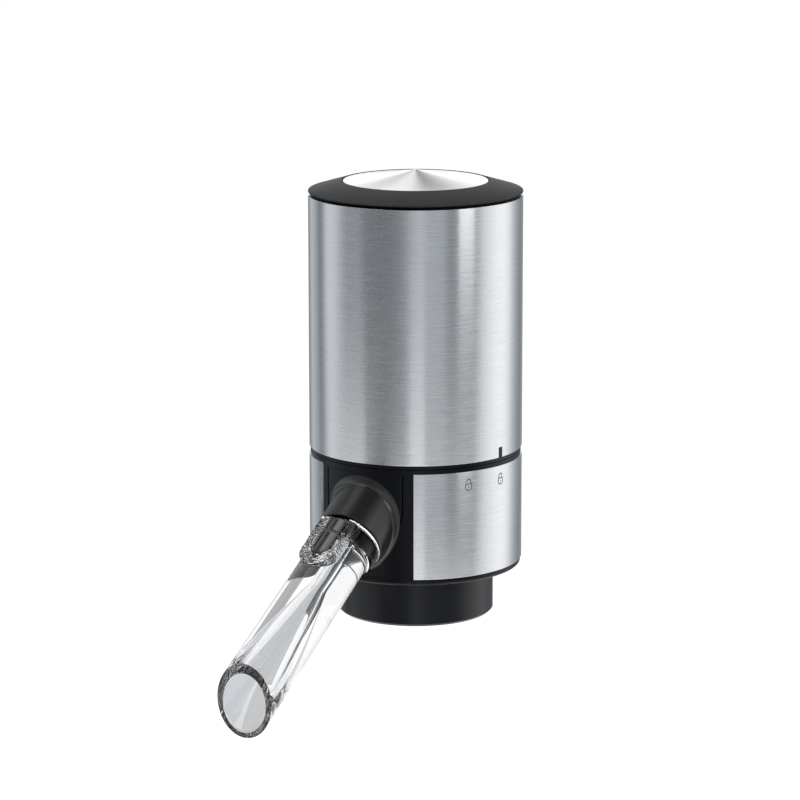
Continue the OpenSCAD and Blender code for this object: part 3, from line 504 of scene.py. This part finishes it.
def spout():
    """One closed skin: outer wall, rounded slanted lip, bore and back face."""
    top = [math.radians(i * 0.8) for i in range(-65, 66)]
    rest = [top[-1] + (2 * math.pi - 2 * top[-1]) * i / 80 for i in range(1, 80)]
    angles = top + rest
    stations = [PLUG_S + d for d in (0.0, 0.15, 0.4, 1.7)]
    stations += [ORING_S + ORING_HALF * k / 6 for k in range(-6, 7)]
    stations += [TAB_START + d for d in (-2.0, -0.2, 0.0, 0.15, 0.3, 2.0, 4.0)]
    stations += [FLANGE_S - 0.01, FLANGE_S + FLANGE_T + 0.01]
    stations += [FLANGE_S + FLANGE_T * k / 10 for k in range(11)]
    for start, step, count in ((39.0, 0.15, 28), (43.15, 0.2, 35), (50.1, 0.1, 51)):
        stations += [start + step * k for k in range(count)]
    stations += [SADDLE_END + d for d in (0.02, 0.1, 0.5, 1.4, 2.9)] + [TUBE_START]
    stations = sorted(stations)
    tube_steps, lip_steps, lip = 24, 5, 0.2
    verts = []
    for a in angles:
        c, s = math.cos(a), math.sin(a)
        turn = a if a <= math.pi else a - 2 * math.pi
        ring = [(spout_radius(t, turn), t) for t in stations]
        outer = MOUTH_R / (1 + GROWTH * MOUTH_TAN * c)
        inner = MOUTH_IN_R / (1 + WIDENING * MOUTH_TAN * c)
        end = SPOUT_LEN - MOUTH_TAN * outer * c - lip
        plain = [TUBE_START + (end - TUBE_START) * k / tube_steps for k in range(1, tube_steps)]
        ring += [(tube_radius(t), t) for t in plain]
        turns = [math.pi / 2 * k / lip_steps for k in range(lip_steps + 1)]
        edge = [(outer - lip * (1 - math.cos(w)), lip * (1 - math.sin(w))) for w in turns]
        edge += [(inner + lip * (1 - math.sin(w)), lip * (1 - math.cos(w))) for w in turns]
        ring += [(r, SPOUT_LEN - MOUTH_TAN * r * c - back) for r, back in edge]
        end = SPOUT_LEN - MOUTH_TAN * inner * c - lip
        bore = [end + (THROAT_END - end) * k / tube_steps for k in range(1, tube_steps + 1)]
        ring += [(bore_radius(t), t) for t in bore]
        ring += [(THROAT_R, THROAT_END + (PLUG_S - THROAT_END) * k / 10) for k in range(1, 11)]
        verts += [on_spout(r * s, r * c, t) for r, t in ring]
    faces = strip_faces(len(angles), len(ring))
    piece = add_piece("spout_clear", verts, faces, "clear_spout", "spout_unit", ["spout"], sharp_deg=60)
    piece.data.materials.append(clear("clear_pebbled", 0.8))
    # Painted shade: the plug behind the socket's rim gets its shine dimmed to 0.15
    piece.data.materials.append(clear("clear_plug_painted_shade", 0.0, (0.15, 0.15, 0.15, 1)))
    piece.data.materials.append(PAINTED_SHADE)
    pebbled, plug, shade = 1, 2, 3
    for face in piece.data.polygons:
        x, up, s = spout_place(c / MM for c in face.center)
        beside_tab = abs(x) > TAB_SLOT_HALF + 0.2 or s > TAB_END + 0.2
        on_saddle = beside_tab and SOCKET_LEN + 0.4 < s < SADDLE_END - 0.3
        if on_saddle and math.hypot(x, up) > TUBE_R + 0.15 and up > 5.6:
            face.material_index = pebbled
        # Painted shade: faces of the plug take the clear material with the dimmed shine
        elif s < PLUG_END + 0.1:
            face.material_index = plug
        # Painted shade: the narrow gap round the tab takes the near-black material, apart from its right side
        gap = inside_strip(x, s, TAB_SLOT_HALF, TAB_END - TAB_SLOT_HALF)
        if up > 6.5 and s < TAB_END + 0.3 and -0.2 < gap < 0.4 and x < 1.8:
            face.material_index = shade


def tab():
    """Black tab let into the saddle: rounded edges, and two crowned cells parted by a bar."""
    half, base = TAB_HALF, TAB_TOP - TAB_T + 0.02
    middle = TAB_TIP - half
    columns, rows, edge = 32, 90, 0.25
    start, bar, depth, crown, blend = TAB_START + 0.1, 0.3, 0.24, 0.17, 0.16
    verts = []
    for up_side in (True, False):
        for i in range(columns + 1):
            x = half * math.sin(math.pi * (i / columns - 0.5))
            end = middle + math.sqrt(max(half * half - x * x, 0.0))
            for j in range(rows + 1):
                s = start + (end - start) * j / rows
                side = inside_strip(x, s, half, middle)
                d = max(min(side, s - start), 0.0)
                up = TAB_TOP - edge + math.sqrt(max(edge ** 2 - max(edge - d, 0.0) ** 2, 0.0))
                inner = side - TAB_MARGIN
                near_cell = min(inner, s - SOCKET_LEN - TAB_MARGIN, TAB_SPLIT - bar - s)
                far_cell = min(inner, s - TAB_SPLIT - bar)
                sunk = depth - crown * (1 - (x / (half - TAB_MARGIN)) ** 2)
                up -= sunk * ease(max(near_cell, far_cell) / blend + 0.5)
                if s < SOCKET_LEN + 0.3:
                    up = min(up, math.sqrt((PLUG_R - 0.12) ** 2 - x * x))
                verts.append(on_spout(x, up if up_side else base, s))
    n = (columns + 1) * (rows + 1)
    grid = strip_faces(columns + 1, rows + 1, False, False)
    faces = grid + [tuple(v + n for v in f) for f in grid]
    rim = list(range(rows + 1)) + [i * (rows + 1) + rows for i in range(1, columns + 1)]
    rim += [columns * (rows + 1) + j for j in range(rows - 1, -1, -1)]
    rim += [i * (rows + 1) for i in range(columns - 1, 0, -1)]
    faces += [(a, b, b + n, a + n) for a, b in zip(rim, rim[1:] + rim[:1])]
    add_piece("spout_tab_crowned", verts, faces, "tab_black", "spout_unit", ["spout_tab"], sharp_deg=45)


spout()
tab()


# Socket on its plate

def wall_s(r, a):
    """Distance along the spout's axis at which a line at radius r and angle a meets the front panel."""
    out = math.sqrt(PANEL_R ** 2 - (r * math.sin(a)) ** 2)
    return (out - r * math.cos(a) * math.sin(SLOPE)) / math.cos(SLOPE)


def socket():
    """Tapered socket with a rounded rim and a flare that runs out into the panel."""
    count, rim, bore_edge = 160, 0.45, 0.25
    verts = []
    for i in range(count):
        a = 2 * math.pi * i / count
        c, s = math.cos(a), math.sin(a)
        path = [(DUCT_R, SOCKET_BACK), (DUCT_R, SOCKET_STOP), (SOCKET_BORE_R, SOCKET_STOP)]
        path += [
            (SOCKET_BORE_R + bore_edge * (1 - math.cos(w)), SOCKET_LEN - bore_edge + bore_edge * math.sin(w))
            for w in [math.pi / 2 * k / 4 for k in range(5)]]
        path += [
            (SOCKET_R - rim + rim * math.sin(w), SOCKET_LEN - rim + rim * math.cos(w))
            for w in [math.pi / 2 * k / 5 for k in range(6)]]
        foot = SOCKET_BASE_R - 0.08
        for k in range(11):
            w = math.pi / 2 * (1 - k / 10)
            r = foot + FLARE_R * (1 - math.sin(w))
            path.append((r, wall_s(r, a) + FLARE_R * (1 - math.cos(w)) / math.cos(SLOPE) + 0.02))
        path += [(foot, wall_s(foot, a) - 0.3), (SOCKET_BASE_R, SOCKET_BACK)]
        verts += [on_spout(r * s, r * c, t) for r, t in path]
    faces = strip_faces(count, len(path))
    piece = add_piece("socket_body", verts, faces, "socket_black", "base", ["spout_socket"], sharp_deg=50)
    piece.data.materials.append(PAINTED_SHADE)
    piece.data.materials.append(moulded("flare_black", SOCKET_TONE, 0.2, 0.3, 0.04, Specular_IOR_Level=0.8))
    shade, flare = 1, 2
    for face in piece.data.polygons:
        x, up, s = spout_place(c / MM for c in face.center)
        # Painted shade: the rim's end face takes the near-black material, standing in for a shadowed gap
        # round the plug
        if s > SOCKET_LEN - 0.06:
            face.material_index = shade
        elif math.hypot(x, up) > SOCKET_BASE_R - 0.05:
            face.material_index = flare


def plate():
    """Curved plate round the socket, with softened edges and a round lower end, let into the panel."""
    edge, thick = 0.25, 1.8
    top = SHELF_Z - 0.03
    bore = SOCKET_BASE_R - 0.55
    xs = {round(-PLATE_HALF + PLATE_HALF * k / 40, 4) for k in range(81)}
    xs |= {side * (PLATE_HALF - d) for side in (-1, 1) for d in (0.03, 0.08, 0.15)}
    xs = sorted(xs)
    rows = 60
    verts = []
    for x in xs:
        low = PLATE_Z - math.sqrt(max(PLATE_HALF ** 2 - x * x, 0.0))
        for j in range(rows + 1):
            t = j / rows
            t -= 0.12 * math.sin(2 * math.pi * t) / (2 * math.pi)
            z = low + (top - low) * t
            d = max(inside_strip(x, -z, PLATE_HALF, -PLATE_Z), 0.0)
            drop = edge - math.sqrt(max(edge ** 2 - max(edge - d, 0.0) ** 2, 0.0))
            verts.append((x, -math.sqrt((PANEL_R - drop) ** 2 - x * x), z))

    def in_bore(place):
        x, up, _ = spout_place(place)
        return math.hypot(x, up) < bore

    grid = strip_faces(len(xs), rows + 1, False, False)
    faces = [f for f in grid if not all(in_bore(verts[v]) for v in f)]
    piece = add_piece("socket_plate", verts, faces, "black_shell", "base", sharp_deg=60)
    solid = piece.modifiers.new("thickness", "SOLIDIFY")
    solid.thickness = thick * MM
    solid.offset = -1


socket()
plate()


# Softened edges on moulded pieces whose shape stays as it is
for name in ("bottle_collar", "base_plate"):
    soft = nodes[name].modifiers.new("softened", "BEVEL")
    soft.width = SOFT_EDGE * MM
    soft.segments = 3
    soft.limit_method = "ANGLE"
    soft.angle_limit = math.radians(50)


# Return spring

def return_spring():
    """The coil under the button, as a piece of its own that rides on the head."""
    coil = nodes["button_spring"].data
    piece = add_piece(
        "return_spring",
        [v.co / MM for v in coil.vertices],
        [tuple(p.vertices) for p in coil.polygons],
        "spring_steel", "head", ["button_spring"],
    )
    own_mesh(piece)


return_spring()


# Lock marks on the lower sleeve

def ribbon(points, width, closed):
    """Flat outline of even width along 2-D points, as vertices and quads."""
    n = len(points)
    verts = []
    for i, p in enumerate(points):
        before = Vector(points[i - 1] if closed or i else p)
        after = Vector(points[(i + 1) % n] if closed or i < n - 1 else p)
        along = (after - before).normalized()
        side = Vector((-along.y, along.x)) * (width / 2)
        verts += [(p[0] - side.x, p[1] - side.y), (p[0] + side.x, p[1] + side.y)]
    faces = []
    for i in range(n if closed else n - 1):
        k = (i + 1) % n
        faces.append((2 * i, 2 * k, 2 * k + 1, 2 * i + 1))
    return verts, faces


def lock_mark(name, deg, shackle_turn):
    """Small printed padlock, seen from outside, its shackle closed or swung open."""
    middle_z, line, lift = 38.4, 0.27, 0.015
    case = [(-0.88, -1.5, 0.7), (0.88, -1.5, 0.7), (0.88, 0.1, 0.2), (-0.88, 0.1, 0.2)]
    flat, faces = ribbon(rounded(case, 6), line, True)
    arch = [(0.6 * math.cos(w), 0.72 + 0.6 * math.sin(w)) for w in [math.pi * k / 12 for k in range(13)]]
    shackle = [(0.6, 0.1)] + arch + [(-0.6, 0.1 + 0.42 * shackle_turn)]
    keyhole = [(0, -0.45), (0, -0.95)]
    for points, width in ((shackle, line), (keyhole, 0.24)):
        more, quads = ribbon(points, width, False)
        faces += [tuple(v + len(flat) for v in q) for q in quads]
        flat += more
    r = BODY_R + lift
    verts = []
    for x, z in flat:
        a = math.radians(deg - 90) + x / BODY_R
        verts.append((r * math.cos(a), r * math.sin(a), middle_z + z))
    add_piece(name, verts, faces, "black_shell", "base", material=PRINT)


lock_mark("mark_locked", POINTER_DEG, 0)
lock_mark("mark_unlocked", POINTER_DEG - TWIST_DEG, 1)


# Studio

CAMERA_TURN = 31.3
FLOOR_Z = -0.3
CARD_FOOT = FLOOR_Z + 0.01
PANEL_Z = 0.75


def camera():
    """Camera of the photograph: long lens, a little above the body's middle, spout to the left."""
    turn, rise, reach = math.radians(CAMERA_TURN), math.radians(11.84), 0.9463
    target = Vector((0, 0, 0.05727))
    away = Vector((math.sin(turn) * math.cos(rise), -math.cos(turn) * math.cos(rise), math.sin(rise)))
    data = bpy.data.cameras.new("camera")
    data.sensor_width = 36
    data.lens = 164.88
    data.shift_x = -0.01957
    data.shift_y = -0.01016
    data.clip_end = 50
    obj = bpy.data.objects.new("camera", data)
    obj.location = target + away * reach
    obj.rotation_euler = (-away).to_track_quat("-Z", "Y").to_euler()
    bpy.context.scene.collection.objects.link(obj)
    bpy.context.scene.camera = obj


def seen_ray(tree):
    """1 for rays from the camera, metal and glass, and 0 for rays that carry light to other surfaces."""
    path = tree.nodes.new("ShaderNodeLightPath")
    total = path.outputs["Is Camera Ray"]
    for name in ("Is Glossy Ray", "Is Transmission Ray"):
        node = tree.nodes.new("ShaderNodeMath")
        node.operation = "MAXIMUM"
        tree.links.new(total, node.inputs[0])
        tree.links.new(path.outputs[name], node.inputs[1])
        total = node.outputs[0]
    return total


def studio_world():
    """White surround for the camera, metal and glass, and a softer even light for everything else."""
    world = bpy.data.worlds.new("studio")
    bpy.context.scene.world = world
    world.use_nodes = True
    tree = world.node_tree
    light = tree.nodes["Background"]
    light.inputs["Color"].default_value = (0.97, 0.985, 1.0, 1)
    light.inputs["Strength"].default_value = 0.55
    white = tree.nodes.new("ShaderNodeBackground")
    white.inputs["Color"].default_value = (1, 1, 1, 1)
    mix = tree.nodes.new("ShaderNodeMixShader")
    tree.links.new(seen_ray(tree), mix.inputs["Fac"])
    tree.links.new(light.outputs[0], mix.inputs[1])
    tree.links.new(white.outputs[0], mix.inputs[2])
    tree.links.new(mix.outputs[0], tree.nodes["World Output"].inputs["Surface"])


def floor():
    """Pale floor well below the part, which fades into the white surround."""
    mesh = bpy.data.meshes.new("floor")
    size = 6.0
    corners = [(x * size, y * size, FLOOR_Z) for x, y in ((-1, -1), (1, -1), (1, 1), (-1, 1))]
    mesh.from_pydata(corners, [], [(0, 1, 2, 3)])
    material = bpy.data.materials.new("floor")
    material.use_nodes = True
    tree = material.node_tree
    bsdf = tree.nodes["Principled BSDF"]
    bsdf.inputs["Base Color"].default_value = (0.93, 0.93, 0.93, 1)
    bsdf.inputs["Roughness"].default_value = 0.9
    bsdf.inputs["Specular IOR Level"].default_value = 0
    glow = tree.nodes.new("ShaderNodeEmission")
    lift = tree.nodes.new("ShaderNodeMath")
    lift.operation = "MULTIPLY"
    lift.inputs[1].default_value = 0.5
    tree.links.new(seen_ray(tree), lift.inputs[0])
    tree.links.new(lift.outputs[0], glow.inputs["Strength"])
    both = tree.nodes.new("ShaderNodeAddShader")
    tree.links.new(bsdf.outputs[0], both.inputs[0])
    tree.links.new(glow.outputs[0], both.inputs[1])
    tree.links.new(both.outputs[0], tree.nodes["Material Output"].inputs["Surface"])
    mesh.materials.append(material)
    obj = bpy.data.objects.new("floor", mesh)
    bpy.context.scene.collection.objects.link(obj)


def lamp(name, place, target, size, power):
    """Round soft lamp turned to a point."""
    data = bpy.data.lights.new(name, "AREA")
    data.energy = power
    data.shape = "DISK"
    data.size = size
    obj = bpy.data.objects.new(name, data)
    obj.location = place
    obj.rotation_euler = (Vector(target) - Vector(place)).to_track_quat("-Z", "Y").to_euler()
    bpy.context.scene.collection.objects.link(obj)
    return obj


def stage_mesh(name, verts, faces, strength, levels=None, tint=(1, 1, 1), through=False):
    """Glowing card that shows only in reflections or, as a flag, only through clear pieces."""
    mesh = bpy.data.meshes.new(name)
    mesh.from_pydata(verts, [], faces)
    material = bpy.data.materials.new(name)
    material.use_nodes = True
    tree = material.node_tree
    glow = tree.nodes.new("ShaderNodeEmission")
    glow.inputs["Color"].default_value = (*tint, 1)
    glow.inputs["Strength"].default_value = strength
    if levels:
        shade = mesh.color_attributes.new("level", "FLOAT_COLOR", "POINT")
        for item, level in zip(shade.data, levels):
            cool = min(max((1.1 - level) / 0.6, 0.0), 1.0)
            item.color = (level * (1 - 0.12 * cool), level * (1 - 0.06 * cool), level, 1)
        read = tree.nodes.new("ShaderNodeVertexColor")
        read.layer_name = "level"
        tree.links.new(read.outputs["Color"], glow.inputs["Color"])
    tree.links.new(glow.outputs[0], tree.nodes["Material Output"].inputs["Surface"])
    mesh.materials.append(material)
    obj = bpy.data.objects.new(name, mesh)
    obj.visible_camera = False
    obj.visible_diffuse = False
    obj.visible_shadow = False
    obj.visible_glossy = not through
    obj.visible_transmission = through
    bpy.context.scene.collection.objects.link(obj)


def card(name, start, end, strength, low, high, reach=0.55, through=False, tint=(1, 1, 1)):
    """Upright curved card between two angles from the camera, positive to its right."""
    steps = max(2, int(abs(end - start) / 4))
    verts, faces = [], []
    for k in range(steps + 1):
        a = math.radians(CAMERA_TURN + start + (end - start) * k / steps)
        x, y = reach * math.sin(a), -reach * math.cos(a)
        verts += [(x, y, low), (x, y, high)]
        if k:
            faces.append((2 * k - 2, 2 * k, 2 * k + 1, 2 * k - 1))
    stage_mesh(name, verts, faces, strength, tint=tint, through=through)


def light_ring(stops, low=CARD_FOOT, high=0.8, reach=0.55):
    """Ring of soft boxes and grey panels round the part: light level by angle from the camera."""
    verts, faces, levels = [], [], []
    for k in range(int(stops[0][0]), int(stops[-1][0]) + 1):
        a = math.radians(CAMERA_TURN + k)
        x, y = reach * math.sin(a), -reach * math.cos(a)
        i = max(j for j in range(len(stops) - 1) if stops[j][0] <= k)
        (a0, v0), (a1, v1) = stops[i], stops[i + 1]
        level = v0 + (v1 - v0) * (k - a0) / (a1 - a0)
        if verts:
            n = len(verts)
            faces.append((n - 2, n, n + 1, n - 1))
        verts += [(x, y, low), (x, y, high)]
        levels += [level, level]
    stage_mesh("light_ring", verts, faces, 1.0, levels)


camera()
studio_world()
floor()
light_ring([
    (-165, 0.26), (-155, 0.36), (-146, 0.7), (-138, 0.56), (-132, 0.52), (-122, 0.24), (-116, 0.38),
    (-112, 0.66), (-106, 0.86), (-94, 0.76), (-86, 0.54), (-78, 0.36), (-61, 0.34), (-56, 0.23),
    (-32, 0.22), (-20, 0.26), (-12, 0.36), (-4, 0.53), (6, 0.66), (12, 0.55), (29, 0.54), (34, 0.36),
    (38, 0.3), (41, 0.3), (45, 0.34), (49, 0.32), (64, 0.32), (69, 0.62), (74, 0.8), (80, 0.96),
    (95, 1.22), (107, 1.28), (116, 1.12), (125, 0.76), (134, 0.5), (148, 0.28), (158, 0.34), (165, 0.5)])

# Cards for metal and gloss: angles, light, lower and upper edge, distance
card("glow_left", -90, -56, 0.75, CARD_FOOT, -0.1, 0.54)
card("glow_mid", -6, 9, 0.95, CARD_FOOT, -0.1, 0.54)
card("low_left", -45, -12, 0.12, CARD_FOOT, -0.14, 0.54)
card("low_right", 10, 66, 0.3, CARD_FOOT, -0.12, 0.54)
card("arc_box", 46, 64, 2.4, 0.12, 0.42, 0.53)
card("fan_left", -173, -162, 0.3, 0.36, 0.8)
card("fan_right", 170, 179.5, 0.16, 0.34, 0.8)
card("back_high", 160, 200, 1.27, 0.06, 0.9, 0.9)
card("back_low", 166, 194, 0.3, CARD_FOOT, 0.06, 0.9)
card("tab_shade", -175, -110, 0.1, 0.7, 0.95)
card("tab_light", -165, -120, 1.4, 0.97, 1.35)
stage_mesh(
    "top_panel", [(-0.12, -0.4, PANEL_Z), (0.6, -0.4, PANEL_Z), (0.6, 0.45, PANEL_Z), (-0.12, 0.45, PANEL_Z)],
    [(0, 1, 2, 3)], 0.08)

# Cards and flags seen through the clear spout alone
card("sweep_left", 166, 182.6, 0.56, CARD_FOOT, 0.25, 0.9, True, (0.985, 0.985, 1.0))
card("sweep_right", 182.6, 194, 0.64, CARD_FOOT, 0.25, 0.9, True, (0.93, 0.955, 1.0))
card("sweep_line", 182.25, 182.95, 0.76, CARD_FOOT, 0.25, 0.89, True, (0.97, 0.985, 1.0))
card("flag_front", -75, 75, 0.02, CARD_FOOT, 0.8, 0.9, True)
card("flag_side", 123, 133, 0.2, CARD_FOOT, 0.3, 0.9, True)
card("flag_low", 130, 160, 0.42, CARD_FOOT, -0.13, 0.5, True)

for lamp_name, place, size, power in (("key", (-0.5, -0.9, 1.1), 0.9, 8), ("fill", (0.9, -0.7, 0.7), 0.8, 4)):
    lamp(lamp_name, place, (0, 0, 0.05), size, power).visible_glossy = False

scene = bpy.context.scene
scene.view_settings.view_transform = "Standard"
scene.cycles.max_bounces = 32
scene.cycles.transmission_bounces = 32
scene.cycles.glossy_bounces = 24
